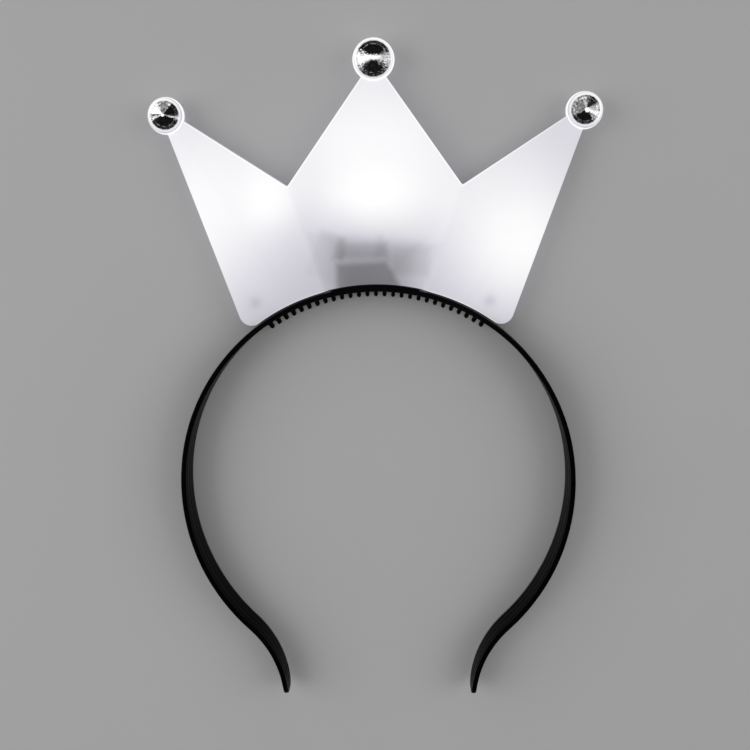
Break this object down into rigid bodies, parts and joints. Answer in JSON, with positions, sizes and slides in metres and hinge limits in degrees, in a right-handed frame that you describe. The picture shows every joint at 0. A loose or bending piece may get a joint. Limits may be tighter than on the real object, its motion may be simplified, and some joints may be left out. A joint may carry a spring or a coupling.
{
  "type": "light-up crown headband",
  "caption": "Hollow white three-point crown with round cut stones on a black plastic comb headband, lying on its back.",
  "frame": {"origin": "on the surface that the part lies on, under the middle of its bounding box", "axes": "+Z out of the crown's front, which faces up as the part lies on its back; +Y up the crown towards its middle point; +X to the right as seen from the front, the mirror axis"},
  "size_m": [0.1418, 0.214, 0.0121],
  "materials": {
    "black_plastic": "polished moulded black plastic",
    "frosted_white": "frosted translucent white plastic, lit from inside",
    "cut_stone": "clear cut glass with a foil back",
    "holder_plastic": "moulded grey plastic",
    "cell_steel": "plain steel cans",
    "cover_plastic": "white moulded plastic",
    "lamp": "clear domed lamp, lit"
  },
  "bodies": {
    "root": {"headband": "black_plastic", "crown_front": "frosted_white", "crown_back": "frosted_white", "stone_center": "cut_stone", "stone_left": "cut_stone", "stone_right": "cut_stone", "battery_holder": "holder_plastic", "battery_cell_upper": "cell_steel", "battery_cell_lower": "cell_steel", "battery_cover": "cover_plastic", "led_left": "lamp", "led_center": "lamp", "led_right": "lamp"}
  },
  "joints": []
}
